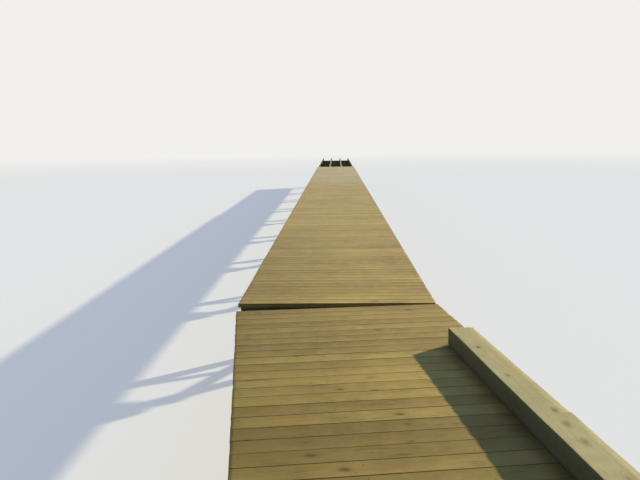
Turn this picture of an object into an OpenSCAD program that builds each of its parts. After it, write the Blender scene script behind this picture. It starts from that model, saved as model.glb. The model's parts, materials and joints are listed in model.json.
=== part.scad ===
// Timber jetty at half size: a short leg from the shore, a turn of a few degrees with
// an open wedge between the two decks, and a long leg whose decking stops before its frame.

/* [Deck] */
// Width of the deck across its planks
deck_w = 914; // [760:2:1200]
// Height of the deck's top above the feet of the piles
deck_h = 1000; // [900:10:1500]
// Thickness of the decking
deck_t = 19; // [12:1:32]
// Width of one deck plank
plank_w = 70; // [45:1:95]
// Gap between one deck plank and the next
plank_gap = 2.25; // [1:0.25:4]
// Planks laid in one bay of the long leg
bay_planks = 33; // [26:1:36]
// Planks laid in the shore leg
near_planks = 33; // [26:1:40]
// Overhang of the planks past the edge stringers
deck_overhang = 12; // [0:1:30]

/* [Turn] */
// Angle by which the shore leg turns off the line of the long leg, in degrees
turn_angle = 7.5; // [2:0.5:15]
// Gap left between the two decks at the inner corner of the turn
corner_gap = 0.3; // [0.1:0.1:0.9]

/* [Stringers] */
// Thickness of one stringer board
stringer_t = 19; // [15:1:32]
// Depth of one stringer board
stringer_d = 143; // [90:1:180]
// Distance of each doubled inner stringer from the middle of the deck
inner_x = 152; // [100:2:220]
// Seam between the two boards of a doubled stringer
ply_gap = 0.5; // [0.2:0.1:0.8]
// Gap where two stringers meet end to end over a bent
butt_gap = 2; // [1:0.5:6]
// Thickness of the header board across the end of a leg
header_t = 19; // [15:1:32]
// Thickness of the blocking between the stringers over a bent
block_t = 19; // [15:1:32]
// Length by which the last stringers run on past the last bent
tip_run = 150; // [90:5:300]

/* [Bents] */
// Distance from the end of a leg to the middle of its first bent
lead_in = 150; // [130:5:300]
// Distance from the deck's edge to the middle of each pile
pile_inset = 127; // [100:1:170]
// Diameter of a pile at its cut-off head
pile_head_d = 115; // [100:1:130]
// Diameter of a pile at its foot
pile_foot_d = 106; // [90:1:115]
// Depth of the flat cut into each side of a pile for its cap or brace
dap = 12; // [6:1:16]
// Drop of the pile's head below the top of the caps
head_drop = 8; // [2:1:30]
// Thickness of one cap timber
cap_t = 32; // [19:1:45]
// Depth of one cap timber
cap_d = 118; // [90:1:160]
// Corner cut from the underside of each cap's ends
cap_clip = 40; // [10:1:70]
// Thickness of a brace board
brace_t = 19; // [12:1:25]
// Width of a brace board
brace_w = 70; // [45:1:90]
// Height of a brace's middle line where it crosses the lower pile
brace_low = 170; // [130:5:260]
// Distance down from the caps to a brace's middle line at the upper pile
brace_drop = 90; // [85:5:140]
// Length by which a brace runs past the middle of each pile
brace_run = 75; // [65:1:90]
// Clearance above and below a brace in the seat cut for it
seat_clear = 0.3; // [0.1:0.1:1]

/* [Kerb timber] */
// Width of the squared timber that lies on the shore leg
kerb_w = 94; // [60:1:140]
// Height of the squared timber
kerb_h = 63; // [40:1:110]
// Distance from the squared timber's far end to the right edge of the deck
kerb_inset = 40; // [20:1:120]
// Distance from the squared timber's far end to the turn
kerb_setback = 640; // [200:5:1000]
// Bevel along the long edges of the squared timber
kerb_bevel = 3; // [1:0.5:8]
// Angle by which the squared timber lies off the line of the deck's edge, in degrees
kerb_skew = 0.7; // [-0.5:0.05:2]

/* [Hidden] */
$fn = 64;
deck_bays = 6;
frame_bays = 9;

timber = "#b3a273";
frame_timber = "#a3925f";
pile_timber = "#8d8158";

plank_pitch = plank_w + plank_gap;
bay = bay_planks * plank_pitch;
near_len = near_planks * plank_pitch - plank_gap;
beam_top = deck_h - deck_t;
cap_top = beam_top - stringer_d;
cap_low = cap_top - cap_d;
head_z = cap_top - head_drop;
edge_x = deck_w / 2 - deck_overhang;
pile_x = deck_w / 2 - pile_inset;
flat_y = pile_head_d / 2 - dap;
inner_half = stringer_t + ply_gap / 2;
tip_y = lead_in + frame_bays * bay + tip_run;
near_bents = [-lead_in, lead_in - near_len];
far_bents = [for (i = [0 : frame_bays]) lead_in + i * bay];
brace_rise = cap_low - brace_drop - brace_low;
brace_angle = atan(brace_rise / (2 * pile_x));
brace_mid_z = brace_low + brace_rise / 2;
brace_len = 2 * pile_x / cos(brace_angle) + 2 * brace_run;

// The origin is the middle of the whole jetty's box, at the feet of the piles
left_x = -deck_w / 2;
right_x = deck_w / 2 + near_len * sin(turn_angle);
shore_y = -corner_gap - deck_w * sin(turn_angle) - near_len * cos(turn_angle);
mid_x = (left_x + right_x) / 2;
mid_y = (shore_y + tip_y) / 2;

// Places the long leg, which is drawn with its near end on the X axis
module far_leg() {
    translate([-mid_x, -mid_y, 0]) children();
}

// Places the shore leg, which is drawn along -Y behind its right-hand corner at the turn
module near_leg() {
    far_leg()
    translate([deck_w / 2, -corner_gap, 0])
    rotate([0, 0, turn_angle])
    translate([-deck_w / 2, 0, 0])
    children();
}

// A board between two heights, centred on x and running from y0 to y1
module board(x, t, y0, y1, z0, z1) {
    translate([x - t / 2, y0, z0]) cube([t, y1 - y0, z1 - z0]);
}

module deck_panel(y0, y1) {
    board(0, deck_w, y0, y1, beam_top, deck_h);
}

// Two single edge stringers and two doubled inner ones
module stringer_set(y0, y1) {
    for (side = [-1, 1]) {
        board(side * (edge_x - stringer_t / 2), stringer_t, y0, y1, cap_top, beam_top);
        for (ply = [-1, 1])
            board(side * inner_x + ply * (stringer_t + ply_gap) / 2, stringer_t,
                  y0, y1, cap_top, beam_top);
    }
}

// Three blocks that close the spaces between the stringers over one bent
module block_set(y) {
    y0 = y - block_t / 2;
    y1 = y + block_t / 2;
    middle = 2 * (inner_x - inner_half);
    outer = edge_x - stringer_t - inner_x - inner_half;
    board(0, middle, y0, y1, cap_top, beam_top);
    for (side = [-1, 1])
        board(side * (inner_x + inner_half + outer / 2), outer, y0, y1, cap_top, beam_top);
}

module header(y0) {
    board(0, 2 * edge_x, y0, y0 + header_t, cap_top, beam_top);
}

// One cap timber on the side of a bent, with the lower corners of its ends cut off
module cap(side) {
    translate([0, side * (flat_y + cap_t / 2) + cap_t / 2, 0])
    rotate([90, 0, 0])
    linear_extrude(cap_t)
    polygon([
        [-edge_x, cap_top], [-edge_x, cap_low + cap_clip], [-edge_x + cap_clip, cap_low],
        [edge_x - cap_clip, cap_low], [edge_x, cap_low + cap_clip], [edge_x, cap_top]
    ]);
}

// One sloping brace on the side of a bent, grown in its width to cut its seat
module brace(side, grow = 0) {
    translate([0, side * (flat_y + brace_t / 2), brace_mid_z])
    rotate([0, side * brace_angle, 0])
    cube([brace_len, brace_t, brace_w + 2 * grow], center = true);
}

// A round tapered pile with flats where the caps and braces are bolted to it
module pile(x) {
    difference() {
        translate([x, 0, 0]) cylinder(h = head_z, d1 = pile_foot_d, d2 = pile_head_d);
        for (side = [-1, 1]) {
            cap(side);
            brace(side, seat_clear);
        }
    }
}

module at_bents(places) {
    for (y = places) translate([0, y, 0]) children();
}

module near_deck() {
    color(timber) near_leg() deck_panel(-near_len, 0);
}

module near_stringers() {
    color(frame_timber) near_leg() stringer_set(header_t - near_len, -header_t);
}

module near_blocking() {
    color(frame_timber) near_leg() for (y = near_bents) block_set(y);
}

module near_piles() {
    color(pile_timber) near_leg() at_bents(near_bents)
        for (side = [-1, 1]) pile(side * pile_x);
}

module near_caps(side) {
    color(frame_timber) near_leg() at_bents(near_bents) cap(side);
}

module near_braces(side) {
    color(frame_timber) near_leg() at_bents(near_bents) brace(side);
}

module shore_header() {
    color(frame_timber) near_leg() header(-near_len);
}

module turn_header_near() {
    color(frame_timber) near_leg() header(-header_t);
}

module turn_header_far() {
    color(frame_timber) far_leg() header(0);
}

// The squared timber lies on the planks with bevelled long edges
module kerb_timber() {
    half = kerb_w / 2;
    b = kerb_bevel;
    color(timber) near_leg()
    translate([deck_w / 2 - kerb_inset - half, -kerb_setback, deck_h])
    rotate([90, 0, -kerb_skew])
    linear_extrude(near_len - kerb_setback - kerb_w * abs(sin(kerb_skew)))
    polygon([
        [b - half, 0], [half - b, 0], [half, b], [half, kerb_h - b],
        [half - b, kerb_h], [b - half, kerb_h], [-half, kerb_h - b], [-half, b]
    ]);
}

module far_deck_bay(i) {
    color(timber) far_leg() deck_panel((i - 1) * bay, i * bay - plank_gap);
}

// The first set starts behind the header and the last one runs on past its bent
module far_stringers_bay(i) {
    y0 = i == 1 ? header_t : far_bents[i - 1] + butt_gap / 2;
    y1 = i == frame_bays ? tip_y : far_bents[i] - butt_gap / 2;
    color(frame_timber) far_leg() stringer_set(y0, y1);
}

// The last bent carries bare stringers with no blocking
module far_blocking() {
    color(frame_timber) far_leg()
        for (i = [0 : frame_bays - 1]) block_set(far_bents[i]);
}

module far_piles(side) {
    color(pile_timber) far_leg() at_bents(far_bents) pile(side * pile_x);
}

module far_caps(side) {
    color(frame_timber) far_leg() at_bents(far_bents) cap(side);
}

module far_braces(side) {
    color(frame_timber) far_leg() at_bents(far_bents) brace(side);
}

near_deck();
near_stringers();
near_blocking();
near_piles();
near_caps(-1);  // near_caps_shore_side
near_caps(1);  // near_caps_water_side
near_braces(-1);  // near_braces_rising_right
near_braces(1);  // near_braces_rising_left
shore_header();
turn_header_near();
turn_header_far();
kerb_timber();
for (i = [1 : deck_bays])
    far_deck_bay(i);
for (i = [1 : frame_bays])
    far_stringers_bay(i);
far_blocking();
far_piles(-1);  // far_piles_left
far_piles(1);  // far_piles_right
far_caps(-1);  // far_caps_shore_side
far_caps(1);  // far_caps_water_side
far_braces(-1);  // far_braces_rising_right
far_braces(1);  // far_braces_rising_left
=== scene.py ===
# %% [markdown]
# # A timber jetty at half size
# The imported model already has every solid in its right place: decks, stringers, caps,
# braces and piles. This script's job is the surface of things: each plank of the decks,
# sawn edges, nails and bolts, and the grain and weather of softwood that stands outdoors.
# The frame comes in first and never moves. Everything else is built around it.

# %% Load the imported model
import json
import math
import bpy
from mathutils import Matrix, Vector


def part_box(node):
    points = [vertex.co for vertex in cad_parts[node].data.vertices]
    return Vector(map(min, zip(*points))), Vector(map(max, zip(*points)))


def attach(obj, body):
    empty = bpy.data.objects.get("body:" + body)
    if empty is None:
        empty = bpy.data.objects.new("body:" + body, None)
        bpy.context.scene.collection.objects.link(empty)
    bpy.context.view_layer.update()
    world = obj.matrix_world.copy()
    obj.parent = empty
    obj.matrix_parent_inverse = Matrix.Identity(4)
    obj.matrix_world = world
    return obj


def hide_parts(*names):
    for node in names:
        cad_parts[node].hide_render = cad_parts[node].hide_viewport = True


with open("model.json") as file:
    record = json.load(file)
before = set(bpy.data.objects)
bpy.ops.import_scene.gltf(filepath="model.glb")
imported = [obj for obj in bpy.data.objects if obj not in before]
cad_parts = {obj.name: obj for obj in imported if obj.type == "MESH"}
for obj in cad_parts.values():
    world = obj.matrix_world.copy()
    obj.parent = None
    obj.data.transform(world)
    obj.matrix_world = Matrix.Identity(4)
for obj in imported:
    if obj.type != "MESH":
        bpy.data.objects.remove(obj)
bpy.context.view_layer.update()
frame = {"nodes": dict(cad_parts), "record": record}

from types import SimpleNamespace

import bmesh
import bpy
import numpy as np
from mathutils import Matrix, Vector

# %% [markdown]
# ## Real millimetres
# The model is half the size of the real jetty. If every board, nail and pattern is written
# in millimetres of the real thing and turned to model metres in one place, a number in
# this script can be checked against a timber merchant's list. The other way, writing model
# metres by hand, hides mistakes.

# %% One real millimetre, and the draw of chance
MM = 0.5 / 1000
UP = Vector((0, 0, 1))
chance = np.random.default_rng(1908)
print("one real millimetre is", MM, "m here")

# %% [markdown]
# ## Two legs, two sets of axes
# The long leg runs along Y. The shore leg is turned by a few degrees. Boards are easiest to
# lay in each leg's own axes, with X across the deck and Y along it, and a matrix then puts
# them in place. The far leg's axes come from the boxes of its first two deck panels, and
# the shore leg's from the mount at its shore end.

# %% Axes of the two legs
PLANKS_A_BAY, DECKED_BAYS = 33, 6
panel, next_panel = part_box("far_deck_bay_1"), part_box("far_deck_bay_2")
pitch = (next_panel[0].y - panel[0].y) / PLANKS_A_BAY
seam = next_panel[0].y - panel[1].y
deck_top, deck_t = panel[1].z, panel[1].z - panel[0].z
deck_w = panel[1].x - panel[0].x
far_leg = Matrix.Translation(((panel[0].x + panel[1].x) / 2, panel[0].y, 0))

shore_end = next(m for m in frame["record"]["mounts"] if m["name"] == "shore_end")
out = Vector(shore_end["axis"])
turn = math.atan2(out.x, -out.y)
near_run = PLANKS_A_BAY * pitch - seam
near_leg = (Matrix.Translation((shore_end["pos_m"][0], shore_end["pos_m"][1], 0))
            @ Matrix.Rotation(turn, 4, "Z"))
print("plank pitch", round(pitch / MM, 2), "mm, deck", round(deck_w / MM), "mm wide, turn",
      round(math.degrees(turn), 2), "degrees")

# %% [markdown]
# ## The squared timber's own axes
# A squared timber lies on the shore leg, nearly but not quite along it, so no box gives its
# line. Its corners do. The middles of its two ends mark its axis, and how far the corners
# spread in three directions gives its width, its height and its length.

# %% Axes of the squared timber on the shore leg
corners = np.unique(np.round([v.co for v in frame["nodes"]["kerb_timber"].data.vertices], 6), axis=0)
far_half = corners[:, 1] > corners[:, 1].mean()
kerb_along = Vector(corners[far_half].mean(axis=0) - corners[~far_half].mean(axis=0)).normalized()
kerb_wide = kerb_along.cross(UP)
spans = [corners @ np.array(d) for d in (kerb_wide, UP, kerb_along)]
kerb_half, kerb_high, kerb_long = ((s.max() - s.min()) / MM * share for s, share in zip(spans, (0.5, 1.0, 1.0)))
kerb_foot = (kerb_wide * (spans[0].max() + spans[0].min()) / 2 + UP * spans[1].min()
             + kerb_along * spans[2].max())
print("squared timber:", round(kerb_half * 2), "by", round(kerb_high), "by", round(kerb_long), "mm")

# %% [markdown]
# ## What every board carries
# Wood is a solid with a direction. To colour it truly, the material must know where a
# point lies inside its own board: how far across, how deep, and how far along the grain.
# UV maps could say that, but they break at edges and hide the end grain. Here each mesh
# carries three attributes instead. "grain" is the point's place in its board in real
# metres, with the grain along the third number. "board" holds three numbers drawn once for
# each board, and a fourth that is 1 on the sawn ends. "rim" is 1 along worn edges.

# %% Gather shapes and boards into one piece
def make_piece(name, shapes, material, smooth=None):
    """Joins (points, faces) shapes into one mesh. Faces that meet at less than smooth degrees look round."""
    points, faces, start = [], [], 0
    for p, f in shapes:
        points.append(p)
        faces += [[i + start for i in face] for face in f]
        start += len(p)
    mesh = bpy.data.meshes.new(name)
    mesh.from_pydata(np.concatenate(points).tolist(), [], faces)
    turned = bmesh.new()
    turned.from_mesh(mesh)
    bmesh.ops.recalc_face_normals(turned, faces=turned.faces)
    turned.to_mesh(mesh)
    turned.free()
    if smooth is not None:
        mesh.shade_smooth()
        mesh.set_sharp_from_angle(angle=math.radians(smooth))
    mesh.materials.append(material)
    piece = bpy.data.objects.new(name, mesh)
    bpy.context.scene.collection.objects.link(piece)
    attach(piece, "root")
    return piece


def make_boards(name, boards, material, node, smooth=None):
    """Boards are (points, faces, grain, lot, ends, rim), and together they stand for a node."""
    piece = make_piece(name, [board[:2] for board in boards], material, smooth)
    lots = [np.column_stack([np.tile(lot, (len(faces), 1)), ends]) for _, faces, _, lot, ends, _ in boards]
    for key, kind, domain, field, values in (
            ("grain", "FLOAT_VECTOR", "POINT", "vector", [board[2] for board in boards]),
            ("rim", "FLOAT", "POINT", "value", [board[5] for board in boards]),
            ("board", "FLOAT_COLOR", "FACE", "color", lots)):
        carried = piece.data.attributes.new(key, kind, domain)
        carried.data.foreach_set(field, np.concatenate(values).astype(np.float32).ravel())
    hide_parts(node)


def in_place(matrix, points):
    """Points of one leg's axes, put where that leg is."""
    m = np.array(matrix)
    return points @ m[:3, :3].T + m[:3, 3]


print("attributes: grain, board, rim")

# %% [markdown]
# ## One small helper for nodes
# A material is a graph of nodes. One function that adds a node, sets what it is told and
# joins its inputs keeps the graph readable. Inputs go by name, or by number from the top:
# a Map Range has its value at 0, the range it comes from at 1 and 2, and the range it goes
# to at 3 and 4. Colours are written as the sRGB hex values that a colour chart gives, and
# one function turns them to the linear light that the renderer works in.

# %% Add a node, and read a colour
def add(tree, kind, inputs=None, **settings):
    """A node with its settings and links. A node that is given as an input stands for its first output."""
    made = tree.nodes.new("ShaderNode" + kind)
    for key, value in settings.items():
        setattr(made, key, value)
    for key, value in (inputs or {}).items():
        if isinstance(value, bpy.types.Node):
            value = value.outputs[0]
        if isinstance(value, bpy.types.NodeSocket):
            tree.links.new(value, made.inputs[key])
        else:
            made.inputs[key].default_value = value
    return made


def linear(hex_colour):
    def one(c):
        return c / 12.92 if c <= 0.04045 else ((c + 0.055) / 1.055) ** 2.4
    return tuple(one(int(hex_colour[i:i + 2], 16) / 255) for i in (1, 3, 5)) + (1.0,)


def bare_material(name):
    """A new material and its empty graph."""
    material = bpy.data.materials.new(name)
    material.use_nodes = True
    material.node_tree.nodes.clear()
    return material, material.node_tree


print("linear of #b3a273:", [round(v, 3) for v in linear("#b3a273")])

# %% [markdown]
# ## Weathered softwood
# The jetty is southern yellow pine, sawn wet, pressure treated and left to the sun. Four
# things make it look so. Growth rings, 3 to 6 mm apart, are rings round the pith: cut
# lengthwise they draw long flames on a face, cut across they draw arcs on the end. Fibres
# give fine streaks. Knots are branches, 20 to 35 mm across, and the rings bend round them.
# Weather greys the top, darkens the edges and leaves stains from board to board.
#
# A plain striped texture could pass from afar. A ring texture in the board's own axes,
# with the pith at a different place for every board, gives faces, edges and ends that
# agree with each other. So the next cells make that, one thing at a time, and every timber
# shares it with colours of its own.

# %% Where a point lies
def board_facts(tree):
    """Sockets that say where a point is: in its board, in the jetty, and in a patch of noise of its own."""
    board = add(tree, "Attribute", attribute_name="board")
    at = SimpleNamespace(
        grain=add(tree, "Attribute", attribute_name="grain").outputs["Vector"],
        rim=add(tree, "Attribute", attribute_name="rim").outputs["Fac"],
        place=add(tree, "TexCoord").outputs["Object"],
        lot=board.outputs["Color"], end=board.outputs["Alpha"])
    at.here = add(tree, "VectorMath", {0: at.lot, 1: (31.0, 17.0, 53.0), 2: at.grain}, operation="MULTIPLY_ADD")
    return at


print("a point knows its grain, rim, place, lot, end and here")

# %% [markdown]
# ## Knots
# A knot is a branch that the saw cut across, a dark disc with the rings swept round it. A
# disc painted on straight grain looks stuck on. So each knot gives two masks: its dark
# core, and a wider one that pushes the rings aside in the next step. Chance puts them in
# some cells of a cell pattern, and a board may also carry knots at set places.

# %% Knots by chance and at set places
KNOT_CELLS = (4.2, 0.5, 2.2)           # cells in a metre across, through and along a board
KNOTLESS = 0.62                        # share of the cells that have no knot
CORE, EDGE, REACH = 0.04, 0.085, 0.30  # of a cell: dark core, its edge, and where the rings run straight again


def knot_masks(tree, at, set_knots, knot_lie):
    """Where the rings bend round a knot, and where a knot's dark core is."""
    cells = add(tree, "Mapping", {0: at.here, "Scale": KNOT_CELLS})
    knots = add(tree, "TexVoronoi", {0: cells, "Scale": 1.0, "Randomness": 0.9})
    off, cell = knots.outputs["Distance"], add(tree, "SeparateColor", {0: knots.outputs["Color"]})
    there = add(tree, "Math", {0: cell.outputs[0], 1: KNOTLESS}, operation="GREATER_THAN")
    near = add(tree, "MapRange", {0: off, 2: REACH, 3: there, 4: 0.0}, interpolation_type="SMOOTHERSTEP")
    # Some knots are dark and some are hardly darker than the wood round them
    dark = add(tree, "MapRange", {0: cell.outputs[1], 3: 0.25, 4: 0.85})
    dark = add(tree, "Math", {0: there, 1: dark}, operation="MULTIPLY")
    core = add(tree, "MapRange", {0: off, 1: CORE, 2: EDGE, 3: dark, 4: 0.0}, interpolation_type="SMOOTHSTEP")
    if set_knots:
        # A set knot is longer along the grain, and a fine noise makes its edge ragged
        squeezed = add(tree, "VectorMath", {0: at.place, 1: knot_lie}, operation="MULTIPLY")
        ragged = add(tree, "TexNoise", {0: at.grain, "Scale": 110.0}).outputs["Fac"]
        ragged = add(tree, "MapRange", {0: ragged, 3: -0.8, 4: 0.8})
    for spot, radius, depth in set_knots:
        centre = tuple(a * b for a, b in zip(spot, knot_lie))
        off = add(tree, "VectorMath", {0: squeezed, 1: centre}, operation="DISTANCE").outputs["Value"]
        off = add(tree, "Math", {0: off, 1: 1 / (radius * MM), 2: ragged}, operation="MULTIPLY_ADD")
        dark = add(tree, "MapRange", {0: off, 2: 1.7, 3: depth, 4: 0.0}, interpolation_type="SMOOTHSTEP")
        around = add(tree, "MapRange", {0: off, 1: 0.5, 2: 3.0, 3: 1.0, 4: 0.0}, interpolation_type="SMOOTHERSTEP")
        core = add(tree, "Math", {0: core, 1: dark}, operation="MAXIMUM")
        near = add(tree, "Math", {0: near, 1: around}, operation="MAXIMUM")
    return near, core


print("knots in", round(1 - KNOTLESS, 2), "of the cells")

# %% [markdown]
# ## Growth rings
# Each year adds pale soft earlywood and then a thin dark line of hard latewood. Whether the
# saw shows them as flames or as stripes depends on where the pith was. Noise stretched
# along the board would give stripes only. A wave of rings, with its axis laid where the
# pith is, gives both, and arcs on the ends as well.

# %% Growth rings round a pith
# The pith lies 30 to 150 mm below the face and leans a little: how far each varies, and from where
PITH_SPREAD, PITH_FROM = (0.16, 0.12, 0.0), (-0.08, 0.03, 0.0)
LEAN_SPREAD, LEAN_FROM = (0.16, -0.20, 0.0), (-0.08, 0.10, 0.0)
BEND = 14.0  # how far a knot pushes the rings aside, in radians of the wave


def growth_rings(tree, at, near_knot, ring_mm):
    """Black on the earlywood, white on the latewood."""
    pith, lean = (add(tree, "VectorMath", {0: at.lot, 1: spread, 2: least}, operation="MULTIPLY_ADD")
                  for spread, least in ((PITH_SPREAD, PITH_FROM), (LEAN_SPREAD, LEAN_FROM)))
    section = add(tree, "Mapping", {0: at.grain, "Location": pith, "Rotation": lean, "Scale": (1.0, 1.0, 0.12)})
    bend = add(tree, "Math", {0: near_knot, 1: BEND}, operation="MULTIPLY")
    # The wave's own period is 2 pi / 20 of a unit, so this scale puts its rings ring_mm apart
    rings = add(tree, "TexWave", {0: section, "Scale": 2 * math.pi / 20 / (ring_mm / 1000), "Distortion": 9.0,
                                  "Detail": 2.0, "Detail Scale": 0.09, "Detail Roughness": 0.5,
                                  "Phase Offset": bend},
                wave_type="RINGS", rings_direction="Z", wave_profile="SAW").outputs["Fac"]
    latewood = add(tree, "ValToRGB", {0: rings})
    ramp = latewood.color_ramp
    ramp.elements[0].position, ramp.elements[0].color = 0.25, (0, 0, 0, 1)
    ramp.elements[1].position, ramp.elements[1].color = 0.82, (1, 1, 1, 1)
    ramp.elements.new(0.97).color = (0, 0, 0, 1)
    return latewood


print("the pith wanders", PITH_SPREAD[0] * 1000, "mm across from board to board")

# %% [markdown]
# ## Fibres, bands and drying checks
# Close up, wood is streaked by fibres and by broader bands of paler and darker growth, and
# a drying board splits in thin lines along its grain. All three are noise drawn out along
# the board. A check shows where a noise crosses its middle value, which gives lines that
# start and stop by themselves, where separate painted lines would need placing.

# %% Fine marks along the grain
# Features in a metre across, through and along a board, then the noise's detail and roughness.
# Fibres are under 1 mm wide. They are drawn 2.5 mm wide and 90 mm long, so that they show at all.
FIBRES = (400.0, 400.0, 11.0), 3.0, 0.6
BANDS = (65.0, 65.0, 2.2), 2.0, 0.5    # about 15 mm wide and half a metre long
CHECKS = (38.0, 38.0, 1.6), 1.0, 0.4


def fine_marks(tree, at, check_share):
    """Fibres and bands as noise, and checks as a mask that is check_share at its darkest."""
    fibre, band, crossing = (
        add(tree, "TexNoise", {0: add(tree, "Mapping", {0: at.here, "Scale": size}),
                               "Scale": 1.0, "Detail": detail, "Roughness": rough}).outputs["Fac"]
        for size, detail, rough in (FIBRES, BANDS, CHECKS))
    middle = add(tree, "Math", {0: crossing, 1: 0.5}, operation="SUBTRACT")
    middle = add(tree, "Math", {0: middle}, operation="ABSOLUTE")
    where = add(tree, "TexNoise", {0: at.here, "Scale": 2.3, "Detail": 1.0}).outputs["Fac"]
    where = add(tree, "MapRange", {0: where, 1: 0.52, 2: 0.60, 4: check_share})
    check = add(tree, "MapRange", {0: middle, 1: 0.004, 2: 0.012, 3: where, 4: 0.0})
    return fibre, band, check


print("fibres", 1000 / FIBRES[0][0], "mm wide and", round(1000 / FIBRES[0][2]), "mm long")

# %% [markdown]
# ## Darker, paler and shaded places on the decks
# The shore leg is darker up to a few metres short of the turn. The left side is darker on the shore leg and for
# the first metres past the turn. The last planks before the bare frame carry a pale painted reflection of the sky,
# as a grazing view would show it. A painted shade darkens the planks along the foot of the squared timber. These
# follow the jetty and not the board, so they go by place. They could be drawn into each plank's lot, but would
# then stop at every seam.

# %% Darker, paler and shaded places on the decks
TURN_Y = far_leg.translation.y
# The shore leg is darker until 2.76 m short of the turn, and no longer darker from 2.48 m: by how much, and where
SHORE_DARK, SHORE_DARK_FULL, SHORE_DARK_GONE = 0.2, TURN_Y - 2760 * MM, TURN_Y - 2480 * MM
# The left side is darker on the shore leg and for the first metres past the turn: by how much, where fully, and
# where no longer
LEFT_DARK, LEFT_DARK_FULL, LEFT_DARK_GONE = 0.72, TURN_Y + 1500 * MM, TURN_Y + 6500 * MM
# Painted reflection: the last planks take on a pale sky colour, as a grazing view would reflect the sky
PALEST, PALER_FROM, PALEST_FROM = 0.34, TURN_Y + 14000 * MM, TURN_Y + 19000 * MM
# Painted shade along the foot of the squared timber: how dark it is at the foot, and how far out it fades
FOOT_SHADE, FOOT_SHADE_WIDE = 0.35, 120 * MM


def deck_tone_and_shade(tree, at):
    """Layers for lay_over: factors that darken, and masks with the colour that they lay on."""
    along = add(tree, "SeparateXYZ", {0: at.place}).outputs[1]
    shore_dark = add(tree, "MapRange", {0: along, 1: SHORE_DARK_FULL, 2: SHORE_DARK_GONE, 3: 1.0 - SHORE_DARK})
    # A plank's grain runs across the deck, so the third number says how far left a point is
    across = add(tree, "SeparateXYZ", {0: at.grain}).outputs[2]
    left = add(tree, "MapRange", {0: across, 1: -0.9, 2: 0.2, 3: LEFT_DARK})
    left = add(tree, "MapRange", {0: along, 1: LEFT_DARK_FULL, 2: LEFT_DARK_GONE, 3: left})
    # Painted reflection of the sky, laid over the last planks as a paler colour
    sky_reflection = add(tree, "MapRange", {0: along, 1: PALER_FROM, 2: PALEST_FROM, 4: PALEST})
    # Painted shade beside the squared timber, darkest at its foot: it ends at the timber's far end and fades out
    # sideways
    end_at = kerb_foot.dot(kerb_along)
    past_end = add(tree, "VectorMath", {0: at.place, 1: kerb_along}, operation="DOT_PRODUCT").outputs["Value"]
    beside = add(tree, "MapRange", {0: past_end, 1: end_at - 20 * MM, 2: end_at + 40 * MM, 3: FOOT_SHADE, 4: 0.0},
                 interpolation_type="SMOOTHSTEP")
    aside = add(tree, "VectorMath", {0: at.place, 1: kerb_wide}, operation="DOT_PRODUCT").outputs["Value"]
    aside = add(tree, "Math", {0: aside, 1: kerb_foot.dot(kerb_wide)}, operation="SUBTRACT")
    aside = add(tree, "Math", {0: aside}, operation="ABSOLUTE")
    foot = kerb_half * MM
    foot_shade = add(tree, "MapRange", {0: aside, 1: foot, 2: foot + FOOT_SHADE_WIDE, 3: beside, 4: 0.0},
               interpolation_type="SMOOTHSTEP")
    return [(shore_dark, None), (left, None), (sky_reflection, "#beb38f"), (foot_shade, "#332e20")]


print("mud gone", round((TURN_Y - SHORE_DARK_GONE) / MM), "mm short of the turn, palest from",
      round((PALEST_FROM - TURN_Y) / MM), "mm past it")

# %% [markdown]
# ## The finish of a timber
# The graph lays colours over each other as the years did: the tree's rings, bleaching by the sun, damp, streaks,
# and what differs from board to board, then knots, worn rims, checks and sawn ends. Last come the decks' own
# layers and a painted shade on faces that don't look up. One big picture of wood could replace it all, but would
# repeat, and couldn't follow 176 solids.

# %% Lay colours over each other
def lay_over(tree, colour, layers):
    """Each layer is a mask with the hex colour that it lays on, or a factor with None, to darken by it."""
    for amount, paint in layers:
        if paint is None:
            colour = add(tree, "VectorMath", {0: colour, "Scale": amount}, operation="SCALE")
        else:
            colour = add(tree, "Mix", {0: amount, 6: colour, 7: linear(paint)}, data_type="RGBA").outputs[2]
    return colour


KNOT_BROWN, CHECK_BLACK, SKY_SHEEN = "#4f3d22", "#1d1810", "#c9d6e6"
END_DARK = 0.72                   # sawn ends drink the rain and go dark
ROUGHNESS, RELIEF_MM = 0.78, 0.5  # dry bare wood is nearly matt, and its rings stand half a millimetre proud


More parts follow.
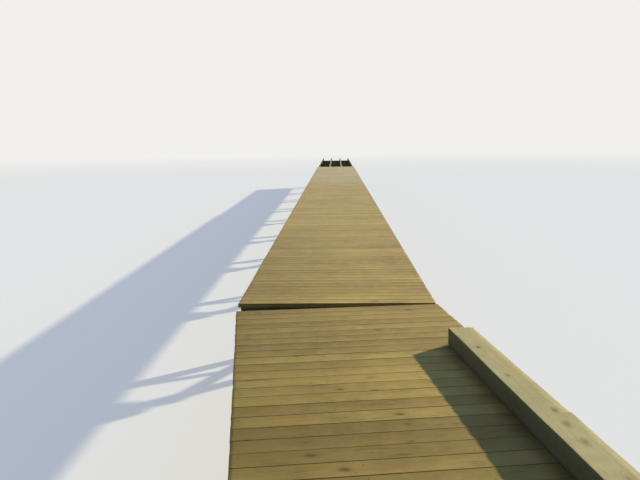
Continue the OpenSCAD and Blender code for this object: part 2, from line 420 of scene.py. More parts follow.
def wood(name, early, late, stain, bleach, ring_mm=6.0, ring_share=0.5, bleach_share=0.5, board_spread=0.22,
         stain_share=0.5, check_share=0.5, rim_share=0.5, painted_side_shade=1.0, sheen=0.06, deck=False,
         set_knots=(), knot_lie=(1.0, 1.0, 1.0)):
    """early and late colour the rings, stain the damp and worn places, and bleach the sunned tops."""
    material, tree = bare_material(name)
    at = board_facts(tree)
    near_knot, knot_core = knot_masks(tree, at, set_knots, knot_lie)
    latewood = growth_rings(tree, at, near_knot, ring_mm)
    fibre, band, check = fine_marks(tree, at, check_share)

    rings = add(tree, "Math", {0: latewood, 1: ring_share}, operation="MULTIPLY")
    # The sun reaches what faces up
    up = add(tree, "SeparateXYZ", {0: add(tree, "NewGeometry").outputs["Normal"]}).outputs[2]
    up = add(tree, "MapRange", {0: up, 1: 0.55, 2: 0.95})
    sunned = add(tree, "MapRange", {0: band, 1: 0.35, 2: 0.65, 3: 0.35 * bleach_share, 4: bleach_share})
    sunned = add(tree, "Math", {0: sunned, 1: up}, operation="MULTIPLY")
    # Stains run on from board to board, so one of their two noises is looked up in the jetty's own space
    damp = add(tree, "TexNoise", {0: at.place, "Scale": 3.2, "Detail": 4.0, "Roughness": 0.55})
    spots = add(tree, "TexNoise", {0: at.here, "Scale": 9.0, "Detail": 3.0, "Roughness": 0.6})
    damp = add(tree, "Math", {0: damp.outputs["Fac"], 1: spots.outputs["Fac"]}, operation="MULTIPLY")
    damp = add(tree, "MapRange", {0: damp, 1: 0.17, 2: 0.42, 4: stain_share})
    streak = add(tree, "MapRange", {0: fibre, 1: 0.25, 2: 0.75, 3: 0.86, 4: 1.10})
    lot = add(tree, "SeparateColor", {0: at.lot})
    tone = add(tree, "MapRange", {0: lot.outputs[2], 3: 1.0 - board_spread, 4: 1.0 + board_spread * 0.6},
               clamp=False)
    colour = lay_over(tree, linear(early), [(rings, late), (sunned, bleach), (damp, stain), (streak, None),
                                            (tone, None)])
    # Boards from different logs are a little redder or greener
    hue = add(tree, "MapRange", {0: lot.outputs[1], 3: 0.497, 4: 0.503})
    colour = add(tree, "HueSaturation", {"Hue": hue, "Color": colour})
    halo = add(tree, "Math", {0: near_knot, 1: 3.0}, operation="POWER")
    halo = add(tree, "Math", {0: halo, 1: 0.35}, operation="MULTIPLY")
    worn = add(tree, "Math", {0: at.rim, 1: rim_share}, operation="MULTIPLY")
    sawn_end = add(tree, "MapRange", {0: at.end, 3: 1.0, 4: END_DARK})
    layers = [(halo, stain), (knot_core, KNOT_BROWN), (worn, stain), (check, CHECK_BLACK), (sawn_end, None)]
    if deck:
        layers += deck_tone_and_shade(tree, at)
    # Painted shade: faces that don't look up are darkened by this factor, as shade would darken them
    if painted_side_shade < 1.0:
        side_shade = add(tree, "MapRange", {0: up, 3: painted_side_shade})
        layers.append((side_shade, None))
    colour = lay_over(tree, colour, layers)

    # Soft earlywood wears away first, so latewood and knots stand proud and checks are sunk
    height = fibre
    for mask, rise in ((latewood, 0.45), (check, -2.0), (knot_core, 0.5)):
        height = add(tree, "Math", {0: mask, 1: rise, 2: height}, operation="MULTIPLY_ADD")
    bump = add(tree, "Bump", {"Height": height, "Strength": 1.0, "Distance": RELIEF_MM * MM})
    rough = add(tree, "MapRange", {0: latewood, 3: ROUGHNESS + 0.07, 4: ROUGHNESS - 0.06})
    shader = add(tree, "BsdfPrincipled", {
        "Base Color": colour, "Roughness": rough, "Normal": bump, "IOR": 1.5, "Specular IOR Level": 0.12,
        "Sheen Weight": sheen, "Sheen Roughness": 0.22, "Sheen Tint": linear(SKY_SHEEN)})
    add(tree, "OutputMaterial", {0: shader})
    return material


print("bare wood is", ROUGHNESS, "rough, with a relief of", RELIEF_MM, "mm")

# %% [markdown]
# ## Four lots of the same pine
# The decks are bleached to straw by sun and feet. The frame below sees less sun, so its sides stay damp and dark,
# and a painted shade darkens them further, while its bare tops bleach like the deck. The piles are peeled poles,
# greener from their treatment, with a little painted shade on their sides. The squared timber is newer and paler
# than all, but a strong painted shade darkens its sides.
# Chance places most knots. Eight on the shore leg's planks and six on the squared timber are plain to see in the
# picture, so those are set at their own places.

# %% Pine for decks, frame, piles and the squared timber
def knots_on_shore_leg(height, knots):
    """Each knot is given by how far it lies across the shore leg and short of the turn, and
    its radius, all in real mm, and by its depth of colour."""
    return [(near_leg @ Vector((x * MM, near_run - short * MM, deck_top + height * MM)), radius, depth)
            for x, short, radius, depth in knots]


DECK_KNOTS = knots_on_shore_leg(0, [
    (16, 2468, 15, 0.72), (-259, 2050, 13, 0.72), (-375, 3055, 16, 0.72), (-478, 1377, 13, 0.72),
    (-55, 2093, 12, 0.4), (-1, 2811, 12, 0.4), (31, 2601, 11, 0.35), (215, 812, 13, 0.4)])
KERB_KNOTS = knots_on_shore_leg(kerb_high, [
    (708, 1753, 12, 0.75), (701, 2296, 13, 0.35), (742, 2824, 13, 0.6),
    (724, 2995, 17, 0.35), (714, 3193, 17, 0.32), (690, 3900, 14, 0.5)])
# Planed, trodden and bleached: straw with brown rims, and a faint sheen towards a low sun
plank_pine = wood("weathered_pine_decking", "#aa8e49", "#8b7032", "#6c5226", "#af9651", bleach_share=0.55,
                  stain_share=0.4, rim_share=0.3, sheen=0.2, deck=True, set_knots=DECK_KNOTS,
                  knot_lie=(0.6, 1.0, 1.0))
# Rough-sawn and seldom dry: brown-black sides, darkened further by painted shade, and pale tops where nothing
# covers them
frame_pine = wood("weathered_pine_framing", "#806f47", "#67572f", "#3f3620", "#b5a67c", bleach_share=0.9,
                  stain_share=0.7, painted_side_shade=0.7)
# Peeled and pressure treated: green-brown, with long open checks, and a little painted shade on the sides
pile_pine = wood("treated_pine_poles", "#857a4e", "#6d6239", "#474227", "#a99c6e", ring_mm=5.0,
                 check_share=0.9, bleach_share=0.6, painted_side_shade=0.85)
# Sawn lately and still pale, all of one tone since it is one piece, with a strong painted shade on its sides
kerb_pine = wood("pale_squared_pine", "#aa9d6a", "#957f4c", "#7d6e41", "#b3a674", ring_share=0.35,
                 board_spread=0.0, stain_share=0.35, check_share=0.35, rim_share=0.0, painted_side_shade=0.5,
                 sheen=0.05, set_knots=KERB_KNOTS, knot_lie=(1.0, 0.5, 1.0))
print("woods:", [m.name for m in (plank_pine, frame_pine, pile_pine, kerb_pine)])

# %% [markdown]
# ## One deck plank
# Each panel of the solid model stands for 33 planks. A real deck plank is 140 mm wide and
# 38 mm thick with arrises eased in the planer. In the sun it cups, so its long edges stand
# 1 to 3 mm higher than its middle, and that is what makes each plank catch the light on one
# side and lose it on the other. Its ends are cut by eye and wander a few millimetres.
#
# An array modifier on one plank would be quick, but every plank would be the same. Here a
# plank is a closed ring of points carried along its length, with small differences drawn
# for each plank. Rings stand closer where the section bends, so the shading stays crisp.

# %% One plank
EASE, SUPPORT = 1.6, 4.0      # mm: the eased arris, and the next line of points in from it
EASE_VARIES = (0.7, 1.4)      # times EASE, from plank to plank
CUP, TWIST = (1.6, 3.4), 0.8  # mm: how far its edges rise over its middle, and how far an end tips
WAVER, SLANT = 0.35, 0.008    # mm that an edge wanders, and the share by which an end is out of square
STATIONS = np.array([0.0, 0.0012, 0.012, 0.1, 0.22, 0.36, 0.5, 0.64, 0.78, 0.9, 0.988, 0.9988, 1.0])


def plank_section(width, thick, cup, ease):
    """Ring of (across, up, rim) round a plank's section, from the lower left corner, in real mm."""
    half, low = width / 2, ease * 0.6
    ring = [(-half + low, -thick, 1.0), (-half, -thick + low, 1.0), (-half, -ease, 1.0),
            (-half + 0.3 * ease, -0.3 * ease, 1.0), (-half + ease, 0.0, 1.0), (-half + ease + SUPPORT, 0.0, 0.15),
            (-half * 0.45, 0.0, 0.0)]
    ring += [(0.0, 0.0, 0.0)] + [(-a, u, r) for a, u, r in reversed(ring)]
    return [(a, u + cup * ((a / half) ** 2 - 1.0), r) for a, u, r in ring]


def tube_faces(stations, ring):
    """Faces of a closed ring of points carried past a number of stations, and which of them are the ends."""
    faces = [(k * ring + i, (k + 1) * ring + i, (k + 1) * ring + (i + 1) % ring, k * ring + (i + 1) % ring)
             for k in range(stations - 1) for i in range(ring)]
    faces += [tuple(range(ring)), tuple(reversed(range((stations - 1) * ring, stations * ring)))]
    ends = np.zeros(len(faces))
    ends[-2:] = 1.0
    return faces, ends


def plank(middle, length, width, slack, thick, leg, top, lot, askew=0.0):
    """A plank across a leg: middle is its (x, y) there, top its height, and slack the gap beside it.
    From its left end to its right one it goes askew mm along the leg."""
    cup, twist = chance.uniform(*CUP), chance.normal(0, TWIST)
    ring = plank_section(width, thick, cup, EASE * chance.uniform(*EASE_VARIES))
    skew = chance.normal(0, SLANT, 2)
    waver = chance.normal(0, WAVER, (4, 2))
    last = len(STATIONS) - 1
    points, grain, rim = [], [], []
    for k, s in enumerate(STATIONS * length - length / 2):
        inset = 1.0 - (2.0 * EASE / width if k in (0, last) else 0.0)
        t = s / length
        # An edge may wander, but never into the next plank
        wander = sum(waver[i, 0] * math.sin((i + 1) * 2.1 * t + waver[i, 1] * 9) for i in range(4))
        wander = slack / 2 * math.tanh(wander * 2 / slack)
        tail = skew[0 if s < 0 else 1]
        for a, u, r in ring:
            a2 = a * inset + wander
            slant = s + a * tail - math.copysign(abs(tail) * width / 2, s)
            up = u if inset == 1.0 else (u + thick / 2) * (1 - 2.0 * EASE / thick) - thick / 2
            points.append((middle[0] + slant * MM, middle[1] + (a2 + askew * t) * MM,
                           top + (up + twist * t * a / width) * MM))
            grain.append((a / 1000, u / 1000, s / 1000))
            rim.append(1.0 if k in (0, 1, last - 1, last) else r)
    faces, ends = tube_faces(len(STATIONS), len(ring))
    return (in_place(leg, np.array(points)), faces, np.array(grain), lot, ends, np.array(rim)), cup


print("points in a plank:", len(STATIONS) * len(plank_section(140, 38, 2, EASE)))

# %% [markdown]
# ## Laying the decks
# The long leg's planks lie tight. On the shore leg the gaps are 2 to 6 mm wide. There the
# planks stop 62 mm short of the panel's edge at the turn, and the first two, at the shore
# end, are ripped to fit. On both sides of the turn the planks go slowly out of true, until
# one end of the last is 20 to 30 mm ahead of the other. Planks laid by one even pitch would
# be tidier than any carpenter's, and each one draws its own width, ends and tone instead.

# %% Lay the planks
NEAR_GAP, FAR_GAP = 4.2, 1.8          # mm, the widest gap that chance may draw
NEAR_STEP, NEAR_SHORT = 146.1, 62.0   # mm, the shore leg's pitch, and where it stops short of the turn
TRIM, TRIM_FROM, TRIM_TO = 1.9, 0.3, 6.5  # mm that an end falls short of the deck's edge
SUNK = 0.4                            # mm that a plank may lie low, since no two are equally thick
# Part of this gain in tone is a painted reflection of the sky, growing with distance
FAR_PALE, PALER_A_BAY = 0.25, 0.07    # what the far leg's planks gain in tone, and gain again in each bay
# Up to one plank all lie square, and another is the worst: how far it is moved and goes askew, in mm
TRUE = {"square": 0, "worst": 1, "moved": 0.0, "askew": 0.0}
NEAR_FAN = {"square": 16, "worst": 32, "moved": 0.0, "askew": -32.0}
FAR_FAN = {"square": 12, "worst": 0, "moved": -20.0, "askew": -23.0}


def lay_planks(name, node, leg, y_start, gap_mm, paler, step=pitch, short_mm=0.0, fan=TRUE):
    """Lays one panel's planks from y_start along a leg, and says where each one lies."""
    boards, lines = [], []
    for i in range(PLANKS_A_BAY):
        width = pitch / MM - gap_mm * chance.uniform(0.1, 1.0)
        slack = pitch / MM - width
        if i in (0, PLANKS_A_BAY - 1):
            # The outermost planks keep inside the panel's own edges
            width = min(width, (pitch - seam) / MM - slack)
        y = (y_start + (PLANKS_A_BAY - 0.5) * pitch - seam / 2 - short_mm * MM
             - (PLANKS_A_BAY - 1 - i) * step)
        if short_mm and i < 2:
            # The first two share what room is left
            room = (y + (1.5 - i) * step - y_start) / 2
            width, y = room / MM - slack, y_start + (i + 0.5) * room
        share = min(1.0, max(0.0, (i - fan["square"]) / (fan["worst"] - fan["square"])))
        y += fan["moved"] * share * MM
        askew = fan["askew"] * share
        trim = np.minimum(np.abs(chance.normal(0, TRIM, 2)) + TRIM_FROM, TRIM_TO)
        length = deck_w / MM - trim.sum()
        x = (trim[0] - trim[1]) / 2 * MM
        sunk = abs(chance.normal(0, SUNK)) * MM
        lot = chance.random(3) * (1.0, 1.0, 0.75) + (0.0, 0.0, paler)
        board, cup = plank((x, y), length, width, slack, deck_t / MM - 0.2, leg, deck_top - sunk, lot, askew)
        boards.append(board)
        lines.append((y, width, sunk, cup, askew))
    make_boards(name, boards, plank_pine, node, smooth=38)
    return lines


decks = {"near": (near_leg, lay_planks("near_planks", "near_deck", near_leg, 0.0, NEAR_GAP, 0.0,
                                       NEAR_STEP * MM, NEAR_SHORT, NEAR_FAN))}
for bay in range(1, DECKED_BAYS + 1):
    # The farther from the shore, the paler the planks: fewer feet, and a painted reflection of the sky that grows
    # with distance
    lines = lay_planks(f"far_planks_{bay}", f"far_deck_bay_{bay}", far_leg, (bay - 1) * PLANKS_A_BAY * pitch,
                       FAR_GAP, FAR_PALE + PALER_A_BAY * (bay - 1), fan=FAR_FAN if bay == 1 else TRUE)
    decks[f"far_{bay}"] = (far_leg, lines)
print("planks laid:", sum(len(lines) for leg, lines in decks.values()))

# %% [markdown]
# ## Sawn timbers, cut again from the solids
# Stringers, blocks, headers, caps and braces are sawn boards. Their solids are right but
# have knife edges, and one mesh holds many boards. Each board is taken out of the solid's
# mesh, its triangles are joined to whole faces, and its edges get a small round. Its grain
# runs along its longest edge and its thickness along its shortest. Building each board
# anew from typed sizes would do too, but would copy numbers that the solids already hold.

# %% Take the boards out of a node
def loose_parts(node):
    """Each separate solid of a CAD node, as a bmesh."""
    whole = bmesh.new()
    whole.from_mesh(frame["nodes"][node].data)
    bmesh.ops.remove_doubles(whole, verts=whole.verts, dist=1e-6)
    whole.verts.index_update()
    whole.faces.index_update()
    seen, parts = set(), []
    for first in whole.verts:
        if first.index in seen:
            continue
        group, queue = [], [first]
        seen.add(first.index)
        while queue:
            v = queue.pop()
            group.append(v)
            for e in v.link_edges:
                w = e.other_vert(v)
                if w.index not in seen:
                    seen.add(w.index)
                    queue.append(w)
        where = {v.index: k for k, v in enumerate(group)}
        part = bmesh.new()
        made = [part.verts.new(v.co) for v in group]
        # In the order of their numbers, so that every run makes the same mesh
        for f in sorted({f for v in group for f in v.link_faces}, key=lambda f: f.index):
            part.faces.new([made[where[v.index]] for v in f.verts])
        part.normal_update()
        parts.append(part)
    whole.free()
    parts.sort(key=lambda p: [round(min(v.co[k] for v in p.verts), 4) for k in (1, 0, 2)])
    return parts


def board_axes(part):
    """Middle, width, thickness and grain directions of a sawn board."""
    edges = sorted(((e.calc_length(), e.verts[1].co - e.verts[0].co) for e in part.edges), key=lambda e: e[0])
    along = edges[-1][1].normalized()
    along = along if along.x + along.y + along.z > 0 else -along
    thick = next(d for length, d in edges if abs(d.normalized().dot(along)) < 0.01).normalized()
    thick = thick if thick.x + thick.y + thick.z > 0 else -thick
    wide = along.cross(thick)
    centre = sum((v.co for v in part.verts), Vector()) / len(part.verts)
    return centre, wide, thick, along


def as_board(part, axes, lot):
    """A bmesh as make_boards takes it, with its grain along the last of its axes."""
    part.verts.index_update()
    points = np.array([v.co for v in part.verts])
    grain = (points - np.array(axes[0])) @ np.array(axes[1:]).T / MM / 1000
    faces = [[v.index for v in f.verts] for f in part.faces]
    ends = np.array([1.0 if abs(f.normal.dot(axes[3])) > 0.8 else 0.0 for f in part.faces])
    return (points, faces, grain, lot, ends, np.zeros(len(points)))


print("a board's axes: middle, width, thickness, grain")

# %% Cut the sawn timbers again
SAWN_EASE = 2.0      # mm, the round on a sawn edge
NEAR_BLACK_TONE = -1.6      # a board's tone is from 0 to 1, and this is nearly black
placed = {}
bare = [f"far_stringers_bay_{bay}" for bay in range(DECKED_BAYS + 1, 10)]


def recut(node):
    """Replaces a node by its sawn boards, and keeps where each one lies for nails and bolts."""
    boards, places = [], []
    for part in loose_parts(node):
        bmesh.ops.dissolve_limit(part, angle_limit=math.radians(1), verts=part.verts, edges=part.edges)
        axes = board_axes(part)
        sizes = [[(v.co - axes[0]).dot(a) for v in part.verts] for a in axes[1:]]
        places.append((axes, [max(s) - min(s) for s in sizes]))
        bmesh.ops.bevel(part, geom=list(part.edges), offset=SAWN_EASE * MM, segments=2, profile=0.6,
                        affect="EDGES")
        part.normal_update()
        lot = chance.random(3)
        if node in bare and abs(axes[0].x - far_leg.translation.x) > 0.4 * deck_w:
            # The outer stringers of the bare bays are made nearly black
            lot[2] = NEAR_BLACK_TONE
        boards.append(as_board(part, axes, lot))
        part.free()
    make_boards(node + "_sawn", boards, frame_pine, node)
    placed[node] = places
    return len(boards)


SAWN = ("stringers", "blocking", "header", "caps", "braces")
sawn = [n for n in sorted(frame["nodes"]) if any(word in n for word in SAWN)]
print("sawn boards:", sum(recut(n) for n in sawn), "from", len(sawn), "nodes")

# %% [markdown]
# ## Round piles
# A pile is a peeled pole: a tapered log with its rings round its own middle. The solids
# have the taper and the flats that the caps and braces sit on, and those stay as they are.
# Only the attributes are new, with the grain straight up each pile's own axis, so that the
# sawn head shows whole rings and the sides show long fibres and drying checks.

# %% The piles with their own axes
def recut_piles(node):
    """Replaces a node of piles, and says where each one's foot is."""
    boards, feet = [], []
    for part in loose_parts(node):
        low = min(v.co.z for v in part.verts)
        foot = [v.co for v in part.verts if v.co.z < low + 1e-5]
        centre = sum(foot, Vector()) / len(foot)
        boards.append(as_board(part, (centre, Vector((1, 0, 0)), Vector((0, 1, 0)), UP), chance.random(3)))
        feet.append(centre)
        part.free()
    make_boards(node + "_poles", boards, pile_pine, node, smooth=25)
    return feet


piles = {n: recut_piles(n) for n in ("near_piles", "far_piles_left", "far_piles_right")}
print("piles:", {n: len(p) for n, p in piles.items()})

# %% [markdown]
# ## The squared timber on the shore leg
# A 188 by 126 mm baulk lies along the right side as a kerb. It is sawn from a small log, so
# one long edge has wane, where the round of the log takes the corner away. The wane stops
# short at a bruised knot and then grows again. A bevelled box would show none of that. The
# baulk is a ring carried along its length as the planks are, with more rings, and its
# outline swells by a millimetre or two.

# %% The squared timber's section
KERB_STEP, KERB_EASE = 24.0, 4.0          # mm, between rings, and along its edges
WANE_STOPS, WANE_STARTS = 1575.0, 1670.0  # mm from the far end, and hardly any of it in between
WANE_FIRST, WANE_MORE = 26.0, 12.0        # mm, its width at the far end, and how much wider it gets
WANE_LEAST, WANE_AGAIN = 5.0, 33.0        # mm, its width in between, and how much wider it gets after that
WANE_SLOPE = 0.14                         # the wane falls away at about 8 degrees to the outer face


def kerb_section(wane):
    """Ring of (across, up) in mm, from the lower left corner round by the top; the wane is on the right."""
    half, high, ease = kerb_half, kerb_high, KERB_EASE
    left = [(-half + ease, 0.0), (-half, ease)] + [(-half, high * t) for t in (0.25, 0.5, 0.75)]
    left += [(-half, high - ease), (-half + 0.3 * ease, high - 0.3 * ease), (-half + ease, high)]
    top = [(a, high) for a in np.linspace(-half + 2 * ease, half - wane, 14)]
    right = [(half - wane * t, high - WANE_SLOPE * wane * (1 - t)) for t in (0.96, 0.75, 0.5, 0.25, 0.1)]
    # A small arris ends it at the outer face
    right += [(half - 1.2, high - WANE_SLOPE * wane - 1.0), (half, high - WANE_SLOPE * wane - 3.5)]
    right += [(half, (high - 8.0) * t) for t in (0.75, 0.5, 0.25)] + [(half, ease), (half - ease, 0.0)]
    return left + top + right


def wane_at(s, phases):
    """Width of the wane in mm, s mm from the far end."""
    if s < WANE_STOPS:
        return (WANE_FIRST + WANE_MORE * s / WANE_STOPS + 2.0 * math.sin(s / 170 + phases[0])
                + 1.0 * math.sin(s / 61 + phases[1]))
    if s < WANE_STARTS:
        return WANE_LEAST
    return (WANE_LEAST + WANE_AGAIN * min(1.0, (s - WANE_STARTS) / 260) ** 0.6
            + 2.0 * math.sin(s / 210 + phases[2]))


print("points in its section:", len(kerb_section(30.0)))

# %% The squared timber
points, grain = [], []
stations = np.concatenate([[0.0, 3.0], np.arange(KERB_STEP, kerb_long - 3.0, KERB_STEP),
                           [WANE_STOPS - 6, WANE_STOPS + 2, WANE_STOPS + 10], [kerb_long - 3.0, kerb_long]])
stations.sort()
phases = chance.uniform(0, 6.28, 6)
for s in stations:
    ring = kerb_section(wane_at(s, phases))
    inset = 3.0 if s in (0.0, kerb_long) else 0.0
    for a, u in ring:
        swell = 0.7 * math.sin(s / 330 + phases[3] + a / 80) + 0.4 * math.sin(s / 120 + phases[4])
        depth = 1.0 - 0.008 * (1 + math.sin(s / 270 + phases[5])) * (u / kerb_high)
        across = (a - math.copysign(1.2, a)) * (1 - inset / kerb_half) + swell
        up = (u - kerb_high / 2) * (1 - inset / kerb_high) + kerb_high / 2 - (0.35 * abs(swell) if u > 1 else 0)
        points.append(kerb_foot + kerb_wide * (across * MM) + UP * (max(0.0, up) * depth * MM)
                      - kerb_along * (s * MM))
        grain.append((a / 1000, u / 1000, s / 1000))
faces, ends = tube_faces(len(stations), len(ring))
baulk = (np.array(points), faces, np.array(grain), chance.random(3), ends, np.zeros(len(points)))
make_boards("squared_kerb_timber", [baulk], kerb_pine, "kerb_timber", smooth=50)
print("kerb timber:", len(stations), "rings and", len(faces), "faces")

# %% [markdown]
# ## Zinc gone dull
# Nails and bolts are steel dipped in molten zinc. New, it shines in crystal patches called
# spangles. Outdoors it turns to a rough grey within a year, and brown rust breaks through
# in spots. A flat grey would read as plastic, so the spangles vary the grey and the
# roughness, and the rust takes the metal's shine away where it lies.

# %% Galvanised steel
SPANGLE, BLOT = 5 * MM, 16 * MM  # sizes of the two noises; a blot of rust is about half as wide


def zinc(name, metal, spangles, rust, rust_from, shine):
    """metal and spangles are its greys, and rust_from is the value of the noise from which it rusts."""
    material, tree = bare_material(name)
    place = add(tree, "TexCoord").outputs["Object"]
    spangle = add(tree, "TexNoise", {0: place, "Scale": 1 / SPANGLE}).outputs["Fac"]
    blots = add(tree, "TexNoise", {0: place, "Scale": 1 / BLOT, "Detail": 3.0}).outputs["Fac"]
    rusty = add(tree, "MapRange", {0: blots, 1: rust_from, 2: rust_from + 0.12})
    colour = lay_over(tree, linear(metal), [(spangle, spangles), (rusty, rust)])
    metallic = add(tree, "MapRange", {0: rusty, 3: shine, 4: 0.0})
    rough = add(tree, "MapRange", {0: spangle, 3: 0.45, 4: 0.7})
    bump = add(tree, "Bump", {"Height": blots, "Strength": 0.6, "Distance": 0.5 * MM})
    shader = add(tree, "BsdfPrincipled", {"Base Color": colour, "Metallic": metallic, "Roughness": rough,
                                          "Normal": bump})
    add(tree, "OutputMaterial", {0: shader})
    return material


# Trodden and dirty: hardly shiny, brown-grey like the boards round them
nail_steel = zinc("dulled_zinc_nails", "#665d4a", "#6f6955", "#4d3924", 0.44, 0.4)
# Out of the way of feet: grey with some shine, and rust in a few spots
bolt_steel = zinc("hot_dip_zinc_bolts", "#75777a", "#8d8f8c", "#5f4029", 0.60, 0.85)
print("steels:", nail_steel.name, "and", bolt_steel.name)

# %% [markdown]
# ## Nails
# Each plank is held by galvanised nails, 9 mm across the head: two over each edge stringer
# and one in each board of the doubled ones. They are driven almost flush, by hand, so they
# stray a little from a straight line. A head is a low dome of ten sides. Thousands of
# separate objects would be slow, so each deck's nails are one mesh.

# %% Turned shapes
def lathe(profile, sides):
    """Points and faces of a turned shape from a profile of (radius, height); six sides give a hexagon."""
    round_it = [(math.cos(2 * math.pi * i / sides), math.sin(2 * math.pi * i / sides)) for i in range(sides)]
    points = [(r * x, r * y, h) for r, h in profile for x, y in round_it]
    return np.array(points), tube_faces(len(profile), sides)[0]


nail_head = lathe([(4.5, -0.4), (4.5, 0.455), (2.7, 1.3)], 10)
print("points in a nail's head:", len(nail_head[0]))

# %% Drive the nails
NAIL_ASIDE, NAIL_EDGE = 36, 18        # mm from a plank's middle line, and at least so far from its edge
STRAY_ALONG, STRAY_ACROSS = 3.0, 2.5  # mm, how a hammer strays
DRIVEN = 0.2                          # mm, and how deep it drives a head
bearing = {"near": ("near_stringers", near_leg), "far": ("far_stringers_bay_1", far_leg)}
driven = 0
for deck, (leg, lines) in decks.items():
    node, axes_leg = bearing["near" if deck == "near" else "far"]
    across = sorted((axes_leg.inverted() @ centre).x for (centre, w, t, g), size in placed[node])
    heads = []
    for y, width, sunk, cup, askew in lines:
        for k, x in enumerate(across):
            single = k in (0, len(across) - 1)
            for side in ((-1, 1) if single else ((-1,) if k % 2 else (1,))):
                a = side * min(NAIL_ASIDE, width / 2 - NAIL_EDGE) + chance.normal(0, STRAY_ALONG)
                z = deck_top - sunk + cup * ((a / (width / 2)) ** 2 - 1) * MM
                here = np.array((x + chance.normal(0, STRAY_ACROSS) * MM, y + (a + askew * x / deck_w) * MM,
                                 z - DRIVEN * MM))
                heads.append((in_place(leg, nail_head[0] * MM + here), nail_head[1]))
    driven += len(heads)
    make_piece(f"{deck}_deck_nails", heads, nail_steel, smooth=40)
print("nails driven:", driven)

# %% [markdown]
# ## Bolts
# Each cap is bolted through its piles with two 19 mm bolts, and each brace with one. What
# shows is a round washer, a hexagon 30 mm across its flats, and on one side the end of the
# thread. Their places could be typed in, but the boards know them: a bolt goes where the
# middle line of a cap or a brace passes a pile, on the face that looks away from it.

# %% One bolt
washer = lathe([(27, -0.5), (27, 3.2), (26, 4.0), (14, 4.0)], 24)
hexagon = lathe([(17.3, 3.6), (17.3, 13.5), (15.8, 15.0)], 6)
thread = lathe([(9.5, 14.0), (9.5, 23.0), (8.3, 25.0)], 14)


def bolt(at, outward, with_thread):
    outward = outward.normalized()
    side = outward.cross(UP).normalized()
    turned = Matrix.Rotation(chance.uniform(0, 1), 3, outward)
    axes = np.array([turned @ side, turned @ outward.cross(side), outward])
    parts = [washer, hexagon] + ([thread] if with_thread else [])
    return [(points * MM @ axes + np.array(at), faces) for points, faces in parts]


print("a hexagon is", round(17.3 * math.sqrt(3)), "mm across its flats")

# %% Bolt the caps and braces to the piles
OWN_PILE, OWN_FACE = 0.6, 0.1  # m here, from a board's middle to its piles, and from its plane to a pile's axis
CAP_DROP = 0.26                # of a cap's depth, one bolt above its middle line and one below
CAP_STAGGER = 16 * MM          # so that the two don't split the same fibres


def bolts_for(piles_here, nodes):
    """Bolts through every pile that each board of these nodes passes."""
    made = []
    for node in nodes:
        # Nuts are all on the side away from the shore end, where the thread's end stands out
        nut_side = "water" in node or "rising_left" in node
        spots = [(-CAP_DROP, -CAP_STAGGER), (CAP_DROP, CAP_STAGGER)] if "caps" in node else [(0.0, 0.0)]
        for (centre, wide, thick, along), size in placed[node]:
            flat = Vector((along.x, along.y, 0)).normalized()
            for pile in piles_here:
                off = Vector((centre.x - pile.x, centre.y - pile.y, 0))
                reach = -off.dot(flat) / along.dot(flat)
                passing = centre + along * reach
                if off.length > OWN_PILE or abs((passing - pile).dot(thick)) > OWN_FACE:
                    continue
                outward = thick if thick.dot(off) > 0 else -thick
                face = passing + outward * size[1] / 2
                for drop, stagger in spots:
                    made += bolt(face + along * stagger + wide * size[0] * drop, outward, nut_side)
    return made


for leg, poles in (("near", piles["near_piles"]), ("far", piles["far_piles_left"] + piles["far_piles_right"])):
    bolts = bolts_for(poles, [n for n in sawn if n.startswith((leg + "_caps", leg + "_braces"))])
    make_piece(leg + "_bolts", bolts, bolt_steel, smooth=30)
    print(leg, "bolt pieces:", len(bolts))

# %% [markdown]
# ## The light
# A warm key lamp stands low and ahead to the right, as the sun does in the picture, and
# throws the squared timber's shadow the same way. A broad cool lamp on the same side and an
# even cool sky fill the shade. Together the three come to the level at which a colour
# renders about as it is written. A picture of a real sky could light it too, but would have
# to be loaded from a file.

# %% Lamps
def sun_lamp(name, strength, spread, colour, towards):
    """A lamp as far away as the sun, spread degrees wide."""
    lamp = bpy.data.objects.new(name, bpy.data.lights.new(name, "SUN"))
    lamp.data.energy, lamp.data.angle, lamp.data.color = strength, math.radians(spread), colour
    lamp.rotation_euler = Vector(towards).to_track_quat("-Z", "Y").to_euler()
    bpy.context.scene.collection.objects.link(lamp)


KEY_HEIGHT, KEY_SIDE = math.radians(18.9), math.radians(51.5)
sun_lamp("low_key", 7.15, 1.2, (1.0, 0.89, 0.61),
         (-math.sin(KEY_SIDE) * math.cos(KEY_HEIGHT), -math.cos(KEY_SIDE) * math.cos(KEY_HEIGHT),
          -math.sin(KEY_HEIGHT)))
sun_lamp("broad_cool_fill", 0.95, 70, (0.27, 0.48, 1.0), (-0.66, -0.38, -0.64))
print("key lamp", round(math.degrees(KEY_HEIGHT), 1), "degrees high")

# %% [markdown]
# ## The sky and the floor
# The eye should see one pale backdrop, while the boards are lit by a cooler, dimmer sky.
# Two backgrounds do that, and the kind of ray picks one. The floor is matt and catches the
# shadow near the jetty. Farther off it fades into the backdrop, so that no horizon cuts the
# view. A floor that only glows would hide the shadow.

# %% Sky
BACKDROP, SKY_LIGHT = linear("#f1f0ec"), (0.154, 0.258, 0.48, 1.0)
world = bpy.data.worlds.new("even_sky")
world.use_nodes = True
sky = world.node_tree
sky.nodes.clear()
rays = add(sky, "LightPath").outputs
seen = rays["Is Camera Ray"]
for other in ("Is Glossy Ray", "Is Transmission Ray"):
    seen = add(sky, "Math", {0: seen, 1: rays[other]}, operation="MAXIMUM")
lit = add(sky, "Background", {0: SKY_LIGHT})
shown = add(sky, "Background", {0: BACKDROP})
both = add(sky, "MixShader", {0: seen, 1: lit, 2: shown})
add(sky, "OutputWorld", {0: both})
bpy.context.scene.world = world
print("sky:", world.name)

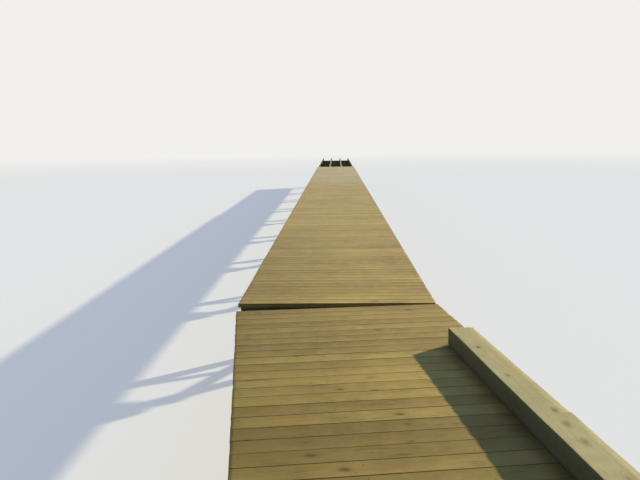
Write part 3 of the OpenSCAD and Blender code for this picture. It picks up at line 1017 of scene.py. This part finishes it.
# %% Floor
FLOOR_HALF, FADE_FROM, FADE_TO = 300.0, 16.0, 60.0  # m here
floor_mesh = bpy.data.meshes.new("pale_floor")
floor_mesh.from_pydata([(x * FLOOR_HALF, y * FLOOR_HALF, 0) for x, y in ((-1, -1), (1, -1), (1, 1), (-1, 1))],
                       [], [(0, 1, 2, 3)])
floor = bpy.data.objects.new("pale_floor", floor_mesh)
bpy.context.scene.collection.objects.link(floor)
paint, tree = bare_material("pale_floor_paint")
spot = add(tree, "TexCoord").outputs["Object"]
away = add(tree, "VectorMath", {0: spot}, operation="LENGTH").outputs["Value"]
fade = add(tree, "MapRange", {0: away, 1: FADE_FROM, 2: FADE_TO, 3: 0.4}, interpolation_type="SMOOTHSTEP")
eye = add(tree, "LightPath").outputs["Is Camera Ray"]
fade = add(tree, "Math", {0: fade, 1: eye}, operation="MULTIPLY")
matt = add(tree, "BsdfDiffuse", {"Color": linear("#dcdad4")})
glow = add(tree, "Emission", {"Color": BACKDROP})
blend = add(tree, "MixShader", {0: fade, 1: matt, 2: glow})
add(tree, "OutputMaterial", {0: blend})
floor_mesh.materials.append(paint)
print("floor fades out from", FADE_FROM, "m")

# %% [markdown]
# ## The camera
# The picture's viewpoint is at the shore end, 6.2 m short of the turn and 1.52 m above the
# planks. The camera is tipped down by 8.6 degrees, turned left by 1.4 and tilted by less
# than one. All of it comes from fitting the decks' edges, since a view set by eye would put
# the far end several planks off.

# %% Camera at the picture's viewpoint
EYE = Vector((7.0, -6164.0, 1523.0)) * MM
LEFT, DOWN, TILT = math.radians(1.41), math.radians(8.62), -0.014
camera_data = bpy.data.cameras.new("viewpoint")
camera_data.sensor_width, camera_data.lens = 36.0, 38.4
camera_data.clip_end = 500.0
camera = bpy.data.objects.new("viewpoint", camera_data)
bpy.context.scene.collection.objects.link(camera)
camera.matrix_world = (Matrix.Translation(far_leg.translation + UP * deck_top + EYE)
                       @ Matrix.Rotation(LEFT, 4, "Z") @ Matrix.Rotation(math.pi / 2 - DOWN, 4, "X")
                       @ Matrix.Rotation(TILT, 4, "Z"))
bpy.context.scene.camera = camera
bpy.context.scene.view_settings.view_transform = "Standard"
print("camera at", [round(v, 3) for v in camera.matrix_world.translation])

# %% [markdown]
# ## The last word on size
# The scene only dresses the solids, so the finished jetty must be as big as they are.

# %% End of the scene
print("end of the scene")
